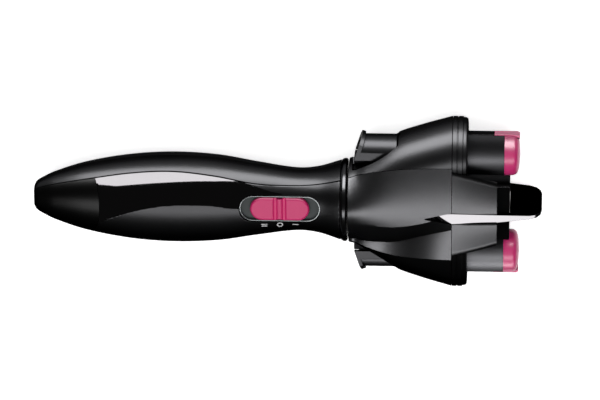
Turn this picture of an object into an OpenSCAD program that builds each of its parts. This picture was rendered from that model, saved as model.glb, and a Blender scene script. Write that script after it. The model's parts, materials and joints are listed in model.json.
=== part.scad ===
// Cordless automatic hair braider: a grip with two motors and a switch, and a
// turning head that carries two spinning barrels, each with a sprung hair lever.
// X runs from the tail to the tip of the divider fin, Y from barrel to barrel
// and Z from the back to the switch face. The back rests on Z = 0.

/* [Overall] */
// Length from the tail to the tip of the divider fin
overall_l = 289; // [287:0.5:291]
// Height of the turning axis above the surface that the back rests on
axis_h = 23.7; // [23.7:0.1:23.9]

/* [Handle] */
// Half width of the grip at its belly
belly_w = 25.6; // [25:0.1:26]
// Height of the belly's front above the axis
belly_front = 21; // [20.5:0.1:21.5]
// Half width of the waist at the switch
waist_w = 17.9; // [17.6:0.1:18.4]
// Depth of the belly's back below the axis, before its flat is cut
belly_back = 24.3; // [24.1:0.1:24.5]
// Outer radius of the neck
neck_r = 23.6; // [23.2:0.1:24]
// Wall of the grip's shells
grip_wall = 2.8; // [2.6:0.1:3]
// Thickness of the glossy inlay and of the tail panel
inlay_t = 1.5; // [1.2:0.1:1.6]
// Share of the half width that the inlay covers
inlay_share = 0.73; // [0.7:0.01:0.76]

/* [Switch] */
// Place of the switch along the grip
switch_x = 140.8; // [140:0.2:142]
// Length of the sliding button
button_l = 33.6; // [32:0.2:34]
// Width of the sliding button
button_w = 13.6; // [13:0.1:13.8]
// Travel of the button to each side
switch_travel = 5; // [4:0.5:5]

/* [Head] */
// Distance of each barrel's axis from the turning axis
barrel_y = 29.7; // [29.5:0.1:30]
// Outer radius of each barrel's mouth ring
mouth_r = 20.8; // [20.6:0.1:21]
// Wall of the head's shells
head_wall = 2.2; // [2:0.1:2.4]
// Height of the head's crown above the axis
crown_h = 23.4; // [23:0.1:23.6]
// Length of the nose in front of the seam
nose_l = 25.6; // [25:0.2:26]
// Lean of the divider fin about the turning axis
fin_lean = 5; // [3:0.5:6]

/* [Barrels] */
// Radius of each barrel's drum
drum_r = 12.4; // [12:0.1:12.6]
// Width of the hair lever's bar
bar_w = 6.4; // [6:0.1:6.6]
// Teeth of the sun gear and of each barrel gear
sun_teeth = 20; // [20:4:24]
// Teeth of each motor pinion
pinion_teeth = 12; // [12:1:12]

/* [Hidden] */
$fn = 64;

gap = 0.15;        // between parts of one body that sit beside each other
run = 0.05;        // radial clearance of a turning fit
grip_end = 174.8;  // where the shells meet the neck collar
head_x = 179.6;    // rear face of the head
seam_x = 238;      // seam between the cowls and the nose
tail_seam = 36;    // seam between the tail panel and the inlay
slot_l = button_l + 2 * switch_travel + 1.4; // slot in the bezel
tunnel_r = 13.2;   // room for each barrel's rear end
tab_room_x = 207.6; // front end of that room
neck_room_r = 11.2; // room for each barrel's neck in front of it
gear_room_r = 17.9; // room for each barrel gear and the mouth

// Grip sections: place, half width, front height, back depth
GRIP = [
  [0, 6.5, 5.6, 5.8], [1, 8, 6.8, 7], [3.5, 9.8, 8.2, 8.6], [12, 13.9, 11.6, 12.4],
  [30, 19.6, 16.2, 18], [55, 24, 19.8, 22.6], [80, belly_w, belly_front, belly_back],
  [105, 24.5, 20, 22.4], [128, 20.9, 17.4, 18.6], [150, waist_w, 15.6, 16.2],
  [162, 18.8, 17.2, 17.6], [grip_end, neck_r - 1.2, neck_r - 1.4, neck_r - 1.4]
];

// Head sections: place, side offset, side radius, crown height
HEAD = [
  [head_x, 1.6, 22.4, 23.9], [184, 3.4, 22.2, 22.8], [190, 8.6, 21.2, 22.3],
  [206, 19.4, 20.4, 22.7], [222, 25.2, 20.5, 23.2], [seam_x, barrel_y, mouth_r, crown_h]
];

// Ridge between the central covers and the cowls: place, half width
RIDGE = [[head_x, 18.8], [190, 22.4], [206, 26], [222, 27.4], [seam_x, 27.8]];

// Nose sections: place, half width, corner height, crown height
NOSE = [
  [seam_x, 27.6, 21.6, crown_h], [250, 24, 21.4, 23.2], [seam_x + nose_l, 19.4, 20.6, 22.2]
];

// ---------- curves ----------

// Row of a table that holds place x
function row_of(t, x, i = 0) = i >= len(t) - 2 || x < t[i + 1][0] ? i : row_of(t, x, i + 1);

// Slope of column k at row i
function slope(t, i, k) =
  let (a = max(i - 1, 0), b = min(i + 1, len(t) - 1)) (t[b][k] - t[a][k]) / (t[b][0] - t[a][0]);

// Column k of a table at place x, on one smooth cubic through its rows
function along(t, x, k) =
  let (i = row_of(t, x), h = t[i + 1][0] - t[i][0], u = (x - t[i][0]) / h)
  let (a = t[i][k], b = t[i + 1][k], m = slope(t, i, k) * h, n = slope(t, i + 1, k) * h)
  a * (2 * u * u * u - 3 * u * u + 1) + m * (u * u * u - 2 * u * u + u)
  + b * (3 * u * u - 2 * u * u * u) + n * (u * u * u - u * u);

// Places from a to b in n equal steps
function steps(a, b, n) = [for (i = [0:n]) a + (b - a) * i / n];

// ---------- sections ----------

grip_sides = 36;
roundness = 2 / 2.2;
function soft(v) = sign(v) * pow(abs(v), roundness);

// Grip section at place x, taken in by the inset
function grip_ring(x, inset = 0) = let (q = min(max(x, 0), grip_end))
  [for (k = [0:grip_sides - 1]) let (c = cos(360 * k / grip_sides), s = sin(360 * k / grip_sides))
    [x, (along(GRIP, q, 1) - inset) * soft(c),
      (along(GRIP, q, s > 0 ? 2 : 3) - inset) * soft(s)]];

arc_sides = 11;
crown_sides = 7;

// Half of a head section: one side arc and the crown that follows it
function head_half(x, c, r, crown) = concat(
  [for (k = [0:arc_sides]) let (a = -90 + 180 * k / arc_sides) [x, c + r * cos(a), r * sin(a)]],
  [for (k = [1:crown_sides]) let (u = 1 - 2 * k / (crown_sides + 1))
    [x, c * u, r + (crown - r) * pow(cos(90 * u), 2)]]);

// Head section at place x, taken in by the inset
function head_ring(x, inset = 0) =
  let (q = min(max(x, head_x), seam_x))
  let (half = head_half(x, along(HEAD, q, 1), along(HEAD, q, 2) - inset, along(HEAD, q, 3) - inset))
  concat(half, [for (p = half) [x, -p[1], -p[2]]]);

// Nose section at place x, taken in by the inset
function nose_ring(x, inset = 0) =
  let (w = along(NOSE, x, 1) - inset, z = along(NOSE, x, 2) - inset, top = along(NOSE, x, 3) - inset)
  let (half = concat(
    [[x, w, -z * 0.55], [x, w, z * 0.55], [x, w * 0.985, z * 0.85], [x, w * 0.93, z * 0.97]],
    [for (u = [0.75, 0.45, 0.15, -0.15, -0.45, -0.75]) [x, w * u, z + (top - z) * cos(90 * u)]],
    [[x, -w * 0.93, z * 0.97], [x, -w * 0.985, z * 0.85]]))
  concat(half, [for (p = half) [x, -p[1], -p[2]]]);

// ---------- solids from sections ----------

// Closed solid through a list of equal rings that run along X
module loft(rings) {
  n = len(rings[0]);
  last = (len(rings) - 1) * n;
  sides = [for (i = [0:len(rings) - 2], k = [0:n - 1]) let (j = (k + 1) % n)
    each [[i * n + k, (i + 1) * n + k, (i + 1) * n + j], [i * n + k, (i + 1) * n + j, i * n + j]]];
  polyhedron(
    points = [for (r = rings, p = r) p],
    faces = concat(sides, [[for (k = [0:n - 1]) k]], [[for (k = [n - 1:-1:0]) last + k]]));
}

// Joins all that is inside it into one clean skin
module one_skin() {
  resize([0, 0, 0]) children();
}

module grip_solid(inset = 0, x0 = 0, x1 = grip_end, n = 22) {
  loft([for (x = steps(x0, x1, n)) grip_ring(x, inset)]);
}

module head_solid(inset = 0, x0 = head_x, x1 = seam_x, n = 12) {
  loft([for (x = steps(x0, x1, n)) head_ring(x, inset)]);
}

module nose_solid(inset = 0, x0 = seam_x, x1 = seam_x + nose_l) {
  loft([for (x = steps(x0, x1, 5)) nose_ring(x, inset)]);
}

// Bar of a flat outline that stands on the Z axis
module upright(z0, z1) {
  translate([0, 0, z0]) linear_extrude(z1 - z0) children();
}

// Cylinder along X
module rod(x0, x1, r, y = 0, z = 0) {
  translate([x0, y, z]) rotate([0, 90, 0]) cylinder(h = x1 - x0, r = r);
}

// Block from one corner to the other
module block(a, b) {
  translate(a) cube(b - a);
}

// Flat slot outline with round ends
module slot_outline(l, w) {
  square([l - w, w], center = true);
  for (s = [-1, 1]) translate([s * (l - w) / 2, 0]) circle(d = w);
}

// Outline that follows the grip's width, seen from the front
module grip_band(x0, x1, share, grow, bulge0, bulge1) {
  xs = steps(x0, x1, 14);
  edge = [for (x = xs) [x, along(GRIP, min(max(x, 0), grip_end), 1) * share + grow]];
  ends = [for (u = steps(0.9, -0.9, 6)) u];
  front_end = [for (u = ends) [x1 + bulge1 * (1 - u * u), edge[14][1] * u]];
  back_end = [for (u = ends) [x0 + bulge0 * (1 - u * u), -edge[0][1] * u]];
  polygon(concat(edge, front_end, [for (i = [14:-1:0]) [edge[i][0], -edge[i][1]]], back_end));
}

// Area between the two ridges, seen from the front
module ridge_band(grow) {
  xs = steps(head_x - 2, seam_x + 1, 10);
  side = [for (x = xs) [x, along(RIDGE, min(max(x, head_x), seam_x), 1) + grow]];
  polygon(concat(side, [for (i = [10:-1:0]) [xs[i], -side[i][1]]]));
}

// Places its children at the upper barrel, or turned half round at the lower one
module at_barrel(side) {
  rotate([side > 0 ? 0 : 180, 0, 0]) translate([0, barrel_y, 0]) children();
}

// ---------- gears ----------

pressure = 25;
backlash = 0.12;
function involute(rb, r) = let (a = acos(rb / r)) tan(a) * 180 / PI - a;

// Spur gear outline with a tooth centred on the Y axis
module gear_outline(teeth, mod) {
  rp = teeth * mod / 2;
  rb = rp * cos(pressure);
  root = rp - 1.15 * mod;
  half = 90 / teeth - backlash / 2 / rp * 180 / PI + involute(rb, rp);
  flank = [for (u = [0:3]) let (r = rb + (rp + 0.9 * mod - rb) * u / 3) [r, half - involute(rb, r)]];
  pts = [for (t = [0:teeth - 1]) let (a = 90 + t * 360 / teeth)
    each concat([[root, a - half]], [for (p = flank) [p[0], a - p[1]]],
      [for (i = [3:-1:0]) [flank[i][0], a + flank[i][1]]], [[root, a + half]])];
  polygon([for (p = pts) p[0] * [cos(p[1]), sin(p[1])]]);
}

// Spur gear along X from x0 to x1, with its first tooth towards +Y, turned by the angle
module gear(x0, x1, teeth, mod, angle = 0) {
  translate([x0, 0, 0]) rotate([angle, 0, 0]) rotate([90, 0, 90])
    rotate([0, 0, -90]) linear_extrude(x1 - x0) gear_outline(teeth, mod);
}

sun_mod = barrel_y / sun_teeth;
sun_x0 = 232;
sun_x1 = 236.6;
motor_y = 9;
drive_mod = motor_y * 2 / (3 * pinion_teeth);
twist_wheel_x = 126;
braid_gear_x = 133;
gear_t = 4;
shaft_r = 3;
hollow_r = 5.5;

// ---------- grip ----------

boss_x = [24, 158];
boss_y = [6, 9.5];
cover_x0 = 46;
cover_x1 = 101;
cover_w = 14.5;

module boss_places() {
  for (i = [0, 1], s = [-1, 1]) translate([boss_x[i], s * boss_y[i], 0]) children();
}

module inlay_zone(grow) {
  upright(1, 40) {
    grip_band(1.2, tail_seam - 0.5, inlay_share, grow, 0, 2.5);
    grip_band(tail_seam, grip_end + 1, inlay_share, grow, 2.5, 0);
  }
}

module switch_opening(grow) {
  translate([switch_x, 0, 0]) upright(6, 30) slot_outline(slot_l + 1 + grow, 15.4 + grow);
}

module front_shell() {
  color([0.09, 0.09, 0.1]) one_skin() difference() {
    intersection() {
      grip_solid();
      block([-1, -40, 0], [grip_end + 1, 40, 40]);
    }
    difference() {
      grip_solid(grip_wall, 3, grip_end + 1, 16);
      boss_places() upright(0, 40) circle(r = 3, $fn = 20);
    }
    difference() {
      inlay_zone(0);
      grip_solid(inlay_t + gap, 1, grip_end + 1, 20);
    }
    switch_opening(0);
    boss_places() upright(-1, 8) circle(r = 1.2, $fn = 16);
  }
}

module rear_shell() {
  color([0.07, 0.07, 0.08]) one_skin() difference() {
    intersection() {
      grip_solid();
      block([-1, -40, -axis_h], [grip_end + 1, 40, -0.1]);
    }
    difference() {
      grip_solid(grip_wall, 3, grip_end + 1, 16);
      boss_places() upright(-40, 0) circle(r = 3.4, $fn = 20);
    }
    upright(-40, -4) cover_outline(0);
    boss_places() upright(-40, 1) circle(r = 1.4, $fn = 16);
    boss_places() upright(-40, -7) circle(r = 2.4, $fn = 16);
  }
}

module cover_outline(inset) {
  translate([(cover_x0 + cover_x1) / 2, 0])
    slot_outline(cover_x1 - cover_x0 - 2 * inset, 2 * (cover_w - inset));
}

module grip_inlay() {
  color([0.02, 0.02, 0.025]) one_skin() difference() {
    intersection() {
      grip_solid(0, 0, grip_end, 22);
      upright(1, 40) grip_band(tail_seam + gap, grip_end + 1, inlay_share, -gap, 2.5, 0);
    }
    grip_solid(inlay_t, 1, grip_end + 1, 20);
    switch_opening(0.1);
  }
}

module tail_panel() {
  color([0.05, 0.05, 0.055]) one_skin() difference() {
    intersection() {
      grip_solid(0, 0, grip_end, 22);
      upright(1, 40) grip_band(1.2 + gap, tail_seam - 0.5 - gap, inlay_share, -gap, 0, 2.5);
    }
    grip_solid(inlay_t, 1, grip_end + 1, 20);
  }
}

module neck_collar() {
  color([0.3, 0.3, 0.32]) translate([grip_end + gap, 0, 0]) rotate([0, 90, 0]) rotate_extrude()
    polygon([[17.4, 0], [neck_r - 1.2, 0], [neck_r, 1.6], [neck_r + 0.2, 3], [neck_r - 0.4, 4],
      [17.4, 4]]);
}

module switch_bezel() {
  color([0.32, 0.32, 0.34]) translate([switch_x, 0, 0]) difference() {
    upright(12.4, 15.9) slot_outline(slot_l + 0.9, 15.3);
    upright(12, 17) slot_outline(slot_l - 0.6, 14);
  }
}

module switch_button() {
  color([0.75, 0.1, 0.28]) translate([switch_x, 0, 0]) difference() {
    union() {
      upright(10.95, 16.2) slot_outline(button_l, button_w);
      upright(16.2, 17.2) slot_outline(button_l - 1.6, button_w - 1.6);
    }
    for (s = [-1, 1]) translate([s * 2.4, 0, 0]) upright(16.4, 18) square([1.4, 20], center = true);
  }
}

module switch_carriage() {
  color([0.15, 0.15, 0.16]) {
    block([switch_x - 17, -6, 9.7], [switch_x + 17, 6, 10.95]);
    block([switch_x - 2, -1.4, 8.5], [switch_x + 2, 1.4, 9.7]);
  }
}

module slide_switch() {
  color([0.6, 0.6, 0.62]) difference() {
    block([switch_x - 10, -4, 6.7], [switch_x + 10, 4, 9.4]);
    block([switch_x - 8, -1.8, 8.2], [switch_x + 8, 1.8, 9.5]);
  }
}

module battery_cover() {
  color([0.07, 0.07, 0.08]) one_skin() difference() {
    intersection() {
      grip_solid();
      upright(-axis_h, -4) cover_outline(gap);
    }
    grip_solid(grip_wall, 3, grip_end + 1, 16);
  }
}

// ---------- power ----------

cell_r = 7.15;
cell_y = 8;
cell_z = -7.4;
cell_x0 = 50;
cell_l = 49;

module battery_tray() {
  color([0.12, 0.12, 0.13]) difference() {
    union() {
      for (s = [-1, 1]) rod(cover_x0, cover_x1, 8.3, s * cell_y, cell_z);
      block([cover_x0, -cell_y, cell_z], [cover_x1, cell_y, 0.9]);
    }
    for (s = [-1, 1]) rod(cover_x0 + 1.2, cover_x1 - 1.2, 7.3, s * cell_y, cell_z);
    block([cover_x0 - 1, -20, -20], [cover_x1 + 1, 20, cell_z]);
  }
}

module cell(y) {
  rod(cell_x0, cell_x0 + cell_l - 1, cell_r, y, cell_z);
  rod(cell_x0 + cell_l - 1, cell_x0 + cell_l, 2.6, y, cell_z);
}

module left_cell() {
  color([0.55, 0.56, 0.5]) cell(cell_y);
}

module right_cell() {
  color([0.55, 0.56, 0.5]) cell(-cell_y);
}

// Spring wire wound on one axis: radius narrows from r0 to r1 as it climbs
module coil(turns, r0, r1, rise, wire_r) {
  per_turn = 12;
  around = 6;
  n = turns * per_turn;
  rings = [for (i = [0:n]) let (u = i / n, a = 360 * i / per_turn, r = r0 + (r1 - r0) * u)
    [for (k = [0:around - 1]) let (b = 360 * k / around, q = r + wire_r * cos(b))
      [q * cos(a), q * sin(a), rise * u + wire_r * sin(b)]]];
  loft(rings);
}

module cell_springs() {
  color([0.8, 0.8, 0.8]) for (s = [-1, 1])
    translate([cell_x0 - 2.1, s * cell_y, cell_z]) rotate([0, 90, 0]) coil(3, 4.6, 2.4, 1.6, 0.35);
}

module cell_contacts() {
  color([0.8, 0.8, 0.8]) for (s = [-1, 1])
    block([cover_x1 - 1.9, s * cell_y - 4, cell_z + 0.3], [cover_x1 - 1.3, s * cell_y + 4, cell_z + 6]);
}

module circuit_board() {
  color([0.1, 0.35, 0.2]) {
    block([52, -13, 6], [92, 13, 7.6]);
    for (x = [58, 70, 82]) block([x, -3, 7.6], [x + 6, 3, 9]);
  }
}

// ---------- drive ----------

motor_x0 = 103;
motor_x1 = 122;

module motor_can(y) {
  difference() {
    rod(motor_x0, motor_x1, 8.4, y, 0);
    for (s = [-1, 1]) block([motor_x0 - 1, y - 9, s * 9.9 - 2.5], [motor_x1 - 2, y + 9, s * 9.9 + 2.5]);
  }
  rod(motor_x0 - 1.2, motor_x0, 2.5, y, 0);
  rod(motor_x1, motor_x1 + 1.4, 3, y, 0);
}

module braid_motor() {
  color([0.7, 0.7, 0.72]) difference() {
    motor_can(motor_y);
    rod(motor_x1 - 8, motor_x1 + 5, 1 + run, motor_y, 0);
  }
}

module twist_motor() {
  color([0.7, 0.7, 0.72]) difference() {
    motor_can(-motor_y);
    rod(motor_x1 - 8, motor_x1 + 5, 1 + run, -motor_y, 0);
  }
}

module motor_cradle() {
  color([0.12, 0.12, 0.13]) difference() {
    union() {
      for (s = [-1, 1]) rod(motor_x1 + 0.1, 125, 8.8, s * motor_y, 0);
      block([motor_x1 + 0.1, -motor_y, -8.8], [125, motor_y, 8.8]);
    }
    for (s = [-1, 1]) rod(motor_x1 - 1, motor_x1 + 1.5, 3.1, s * motor_y, 0);
    for (s = [-1, 1]) rod(motor_x1 - 1, 126, 1.6, s * motor_y, 0);
    rod(motor_x1 - 1, 126, shaft_r + run, 0, 0);
  }
}

// Half a tooth pitch turns the pinion's gap towards the gear's tooth
module braid_pinion() {
  color([0.85, 0.84, 0.8]) {
    translate([0, motor_y, 0])
      gear(braid_gear_x, braid_gear_x + gear_t, pinion_teeth, drive_mod, 180 / pinion_teeth);
    rod(motor_x1 - 6, braid_gear_x + 0.1, 1, motor_y, 0);
  }
}

// Tyred roller that drives the twist wheel by friction, so that it can slip
module twist_roller() {
  color([0.1, 0.1, 0.1]) {
    rod(twist_wheel_x, twist_wheel_x + gear_t, motor_y / 3 - run, -motor_y, 0);
    rod(motor_x1 - 6, twist_wheel_x + 0.1, 1, -motor_y, 0);
  }
}

module braid_gear() {
  color([0.85, 0.84, 0.8]) difference() {
    gear(braid_gear_x, braid_gear_x + gear_t, 2 * pinion_teeth, drive_mod);
    rod(braid_gear_x - 1, braid_gear_x + gear_t + 1, shaft_r + 1.2);
  }
}

module twist_wheel() {
  color([0.85, 0.84, 0.8]) difference() {
    rod(twist_wheel_x, twist_wheel_x + gear_t, 2 * motor_y / 3 - run);
    rod(twist_wheel_x - 1, twist_wheel_x + gear_t + 1, shaft_r);
    for (x = [twist_wheel_x - 1, twist_wheel_x + gear_t - 0.8]) difference() {
      rod(x, x + 1.8, 5);
      rod(x - 1, x + 3, 4);
    }
  }
}

module head_shaft() {
  color([0.75, 0.75, 0.77]) difference() {
    union() {
      rod(131, 139, shaft_r + 1.2);
      rod(139, 226, hollow_r);
    }
    rod(130, 227, shaft_r + run);
  }
}

module twist_shaft() {
  color([0.78, 0.78, 0.8]) rod(122.6, 244, shaft_r);
}

module rear_bearing() {
  color([0.3, 0.3, 0.32]) difference() {
    union() {
      rod(142, 147, 8.4);
      block([142, -14, -5], [147, 14, 3]);
    }
    rod(141, 148, hollow_r + run);
    block([141, -5, 6.6], [148, 5, 9]);
  }
}

module neck_bearing() {
  color([0.3, 0.3, 0.32]) difference() {
    union() {
      rod(168, 171, 15.6);
      rod(171, 177.5, 17.2);
    }
    rod(167, 179, hollow_r + run);
    rod(174, 179, 14);
  }
  color([0.3, 0.3, 0.32]) difference() {
    rod(173.9, 177.5, 8.2);
    rod(172, 179, hollow_r + run);
  }
}

module handle_screws() {
  color([0.6, 0.6, 0.62]) boss_places() {
    upright(-7.1, 6) circle(r = 1.1);
    upright(-9, -7.05) circle(r = 2.1);
  }
}

// ---------- head ----------

module barrel_tunnels() {
  for (s = [-1, 1]) {
    rod(181.4, tab_room_x, tunnel_r, s * barrel_y);
    rod(tab_room_x - 1, 240, neck_room_r, s * barrel_y);
    rod(230, 240, gear_room_r, s * barrel_y);
  }
}

core_seat_z = -21.3;
nose_seat_z = -21.9;

module core_cover(side) {
  one_skin() difference() {
    intersection() {
      head_solid();
      upright(side > 0 ? 0.05 : -40, side > 0 ? 40 : -0.05) ridge_band(-gap);
    }
    head_solid(head_wall, 181.4, seam_x + 1, 11);
    barrel_tunnels();
    rod(178, 183, hollow_r + 0.1);
    fin_slot();
    if (side < 0) core_screw_places() screw_seat(core_seat_z);
  }
}

module core_front_cover() {
  color([0.13, 0.13, 0.14]) core_cover(1);
}

module core_back_cover() {
  color([0.13, 0.13, 0.14]) core_cover(-1);
}

module cowl(side) {
  one_skin() difference() {
    intersection() {
      head_solid();
      if (side > 0) block([head_x - 1, 0, -40], [seam_x + 1, 60, 40]);
      else block([head_x - 1, -60, -40], [seam_x + 1, 0, 40]);
    }
    upright(-40, 40) ridge_band(gap);
    head_solid(head_wall, 181.4, seam_x + 1, 11);
    barrel_tunnels();
  }
}

module upper_cowl() {
  color([0.1, 0.1, 0.11]) cowl(1);
}

module lower_cowl() {
  color([0.1, 0.1, 0.11]) cowl(-1);
}

module core_screw_places() {
  for (s = [-1, 1]) translate([198, s * 8, 0]) children();
}

module nose_screw_places() {
  for (s = [-1, 1]) translate([250, s * 11, 0]) children();
}

// Hole for a screw's shank, with a seat for its head below z
module screw_seat(z) {
  upright(-40, 0) circle(r = 1.15, $fn = 16);
  upright(-40, z) circle(r = 2.2, $fn = 20);
}

// Screw of the head, with the top of its head at z
module head_screw(z, tip) {
  upright(z - 0.1, tip) circle(r = 1);
  upright(z - 1, z - 0.05) circle(r = 1.9);
}

module head_chassis() {
  color([0.08, 0.08, 0.09]) difference() {
    block([182, -16, -12], [225.8, 16, 12]);
    for (s = [-1, 1]) rod(181, 227, tunnel_r + 0.3, s * barrel_y);
    for (s = [-1, 1]) block([186, s * 9.2 - 2.6, -9], [206, s * 9.2 + 2.6, 9]);
    rod(181, 227, hollow_r);
    block([212.8, -20, -8.2], [217.2, 20, 8.2]);
    core_screw_places() upright(-13, -6) circle(r = 1);
  }
}

// Plate across the head that carries both barrels
module barrel_plate(x0, x1, ring_r, bore_r, web_h, centre_r) {
  difference() {
    union() {
      for (s = [-1, 1]) rod(x0, x1, ring_r, s * barrel_y);
      block([x0, -barrel_y, -web_h], [x1, barrel_y, web_h]);
    }
    for (s = [-1, 1]) rod(x0 - 1, x1 + 1, bore_r, s * barrel_y);
    rod(x0 - 1, x1 + 1, centre_r);
  }
}

neck_of_barrel = 8;
bush_r = 9.5;

module rear_plate() {
  color([0.16, 0.16, 0.17]) barrel_plate(213, 217, 10.7, bush_r, 8, hollow_r);
}

module front_plate() {
  color([0.16, 0.16, 0.17]) barrel_plate(226, 230, 12.4, bush_r, 11, shaft_r + run);
}

module sun_gear() {
  color([0.85, 0.84, 0.8]) difference() {
    gear(sun_x0, sun_x1, sun_teeth, sun_mod);
    rod(sun_x0 - 1, sun_x1 + 1, shaft_r);
  }
}

// ---------- barrels, drawn on their own axis ----------

pivot_x = 222;
pivot_y = 5.1;
pin_r = 1.2;
arm_low = 3;
arm_top = 6.2;
drum_x0 = 241;
drum_x1 = 267.4;
tip_x = 276.4;
slot_w = bar_w + 0.6;
bar_low = drum_r - 2.6;
lever_end = 275.4;
lever_tip_x = 261.6;
stem_x = 182.4;      // rear end of the barrel
keel_y = -7.3;       // below the reach of a pressed tab
tab_r = 10.2;
tab_low = -2;        // lower edge of the tab
tab_flange_r = 12.3;
flange_x = 184.4;
flange_lean = 18;

// All that lies behind the slanted flange at the rear
module behind_flange() {
  translate([flange_x, 0, 0]) rotate([0, 0, -flange_lean]) block([-14, -20, -20], [-1, 20, 20]);
}

module barrel() {
  color([0.2, 0.2, 0.21]) difference() {
    union() {
      intersection() {
        rod(stem_x, 208, 7.2);
        block([stem_x, -8, -8], [208, tab_low, 8]);
      }
      intersection() {
        rod(stem_x, 206.4, tab_flange_r);
        block([stem_x, -13, -11], [207, keel_y, 11]);
      }
      rod(207.4, 231.4, neck_of_barrel);
      rod(231.4, 239, bush_r);
      rod(238.8, 241, gear_room_r - 0.8);
      rod(241, drum_x1, drum_r);
    }
    block([200, 0, -slot_w / 2], [226, 12, slot_w / 2]);
    block([225.9, arm_low - 0.5, -slot_w / 2], [244, 20, slot_w / 2]);
    block([243.9, bar_low - 0.4, -slot_w / 2], [drum_x1 + 1, 20, slot_w / 2]);
    block([205, 3, -3.6], [212.9, 12, 3.6]);
    translate([pivot_x, pivot_y, 0]) cylinder(h = 20, r = pin_r, center = true);
    rod(247, drum_x1 + 1, 7.4);
    behind_flange();
  }
}

module barrel_gear() {
  color([0.85, 0.84, 0.8]) difference() {
    gear(sun_x0, sun_x1, sun_teeth, sun_mod, 180 / sun_teeth);
    rod(sun_x0 - 1, sun_x1 + 1, bush_r);
  }
}

module bushes() {
  color([0.75, 0.6, 0.3]) for (x = [213, 226]) difference() {
    rod(x, x + 4, bush_r);
    rod(x - 1, x + 5, neck_of_barrel + run);
  }
}

tip_l = tip_x - drum_x1 - 0.05;
tip_round = 2.4;

module drum_tip() {
  color([0.8, 0.12, 0.32]) difference() {
    translate([drum_x1 + 0.05, 0, 0]) rotate([0, 90, 0]) rotate_extrude()
      polygon(concat([[0, 0], [drum_r, 0]],
        [for (a = [0:15:90]) [drum_r - tip_round * (1 - cos(a)), tip_l - 0.55 - tip_round * (1 - sin(a))]],
        [[drum_r - 6, tip_l - 0.1], [0, tip_l]]));
    block([drum_x1 - 1, bar_low - 0.4, -slot_w / 2], [tip_x + 1, 20, slot_w / 2]);
  }
  color([0.8, 0.12, 0.32]) rod(drum_x1 - 3, drum_x1 + 0.1, 7.3);
}

// Bar, arm and thumb tab of the hair lever
module lever() {
  color([0.06, 0.06, 0.07]) difference() {
    union() {
      translate([0, 0, -bar_w / 2]) linear_extrude(bar_w)
        polygon([[205, arm_low + 0.2], [205, arm_top], [236.6, arm_top], [239.4, arm_top + 1],
          [241.6, drum_r - 1], [243.2, drum_r - 0.2], [lever_end, drum_r - 0.2], [lever_end, bar_low],
          [243.4, bar_low], [239.8, arm_low + 0.8], [237.4, arm_low + 0.2]]);
      translate([pivot_x, pivot_y, -bar_w / 2]) cylinder(h = bar_w, r = 2.5);
      intersection() {
        rod(183, 206.5, tab_r);
        block([182, tab_low, -9.9], [208, 12, 9.9]);
      }
      intersection() {
        translate([flange_x, 0, 0]) rotate([0, 0, -flange_lean]) rod(-1, 1, tab_flange_r);
        block([178, tab_low, -9.9], [192, 13, 9.9]);
      }
    }
    difference() {
      rod(185.6, 205, 8.2);
      block([180, -30, -20], [185.7, -2.5, 20]);
    }
    rod(178, 186, 7.6);
    block([204, -4, -12], [208, 2.6, 12]);
    behind_flange();
    translate([pivot_x, pivot_y, 0]) cylinder(h = 20, r = pin_r + run, center = true);
    block([lever_tip_x, drum_r - 1.75, -5], [lever_end + 1, drum_r + 1, 5]);
  }
}

module lever_tip() {
  color([0.8, 0.12, 0.32]) difference() {
    block([lever_tip_x + 0.05, drum_r - 1.7, -bar_w / 2], [tip_x - 0.4, drum_r, bar_w / 2]);
    block([tip_x - 1.2, drum_r - 0.5, -5], [tip_x, drum_r + 1, 5]);
  }
  color([0.8, 0.12, 0.32])
    block([lever_end + 0.05, bar_low, -bar_w / 2], [tip_x - 0.4, drum_r - 1.7, bar_w / 2]);
}

module pivot_pin() {
  color([0.8, 0.8, 0.82]) translate([pivot_x, pivot_y, 0])
    cylinder(h = 12, r = pin_r, center = true);
}

module lever_spring() {
  color([0.8, 0.8, 0.82]) translate([196, 0.4, 0]) rotate([-90, 0, 0]) coil(4, 3, 3, 6, 0.35);
}

module upper_barrel() at_barrel(1) barrel();
module lower_barrel() at_barrel(-1) barrel();
module upper_gear() at_barrel(1) barrel_gear();
module lower_gear() at_barrel(-1) barrel_gear();
module upper_bushes() at_barrel(1) bushes();
module lower_bushes() at_barrel(-1) bushes();
module upper_tip() at_barrel(1) drum_tip();
module lower_tip() at_barrel(-1) drum_tip();
module upper_lever() at_barrel(1) lever();
module lower_lever() at_barrel(-1) lever();
module upper_lever_tip() at_barrel(1) lever_tip();
module lower_lever_tip() at_barrel(-1) lever_tip();
module upper_pin() at_barrel(1) pivot_pin();
module lower_pin() at_barrel(-1) pivot_pin();
module upper_spring() at_barrel(1) lever_spring();
module lower_spring() at_barrel(-1) lever_spring();

// ---------- nose ----------

fin_x0 = 223;
rim_x1 = 247;
core_h = 17.3;       // half height of the nose core
lever_room_r = 19.3; // room for an open lever all round its barrel

module fin_plan(grow) {
  polygon([[fin_x0, 0.2 + grow], [seam_x, 3.7 + grow], [264, 2.7 + grow], [overall_l - 2, 1 + grow],
    [overall_l, 0.8 + grow], [overall_l, -0.8 - grow], [overall_l - 2, -1 - grow],
    [264, -2.7 - grow], [seam_x, -3.7 - grow], [fin_x0, -0.2 - grow]]);
}

module fin_side(grow) {
  tip_z = 18.6;
  fin_top = crown_h;
  upright(-10, 10) polygon([[fin_x0, 19 + grow], [seam_x, fin_top + grow], [264, 22.2 + grow],
    [overall_l - 7, tip_z + 0.6], [overall_l - 3, tip_z - 1.4], [overall_l - 0.8, tip_z - 5],
    [overall_l, tip_z - 9], [overall_l, 9 - tip_z], [overall_l - 0.8, 5 - tip_z],
    [overall_l - 3, 1.4 - tip_z], [overall_l - 7, -tip_z - 0.6], [264, -22.2 - grow],
    [seam_x, -fin_top - grow], [fin_x0, -19 - grow]]);
}

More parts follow.
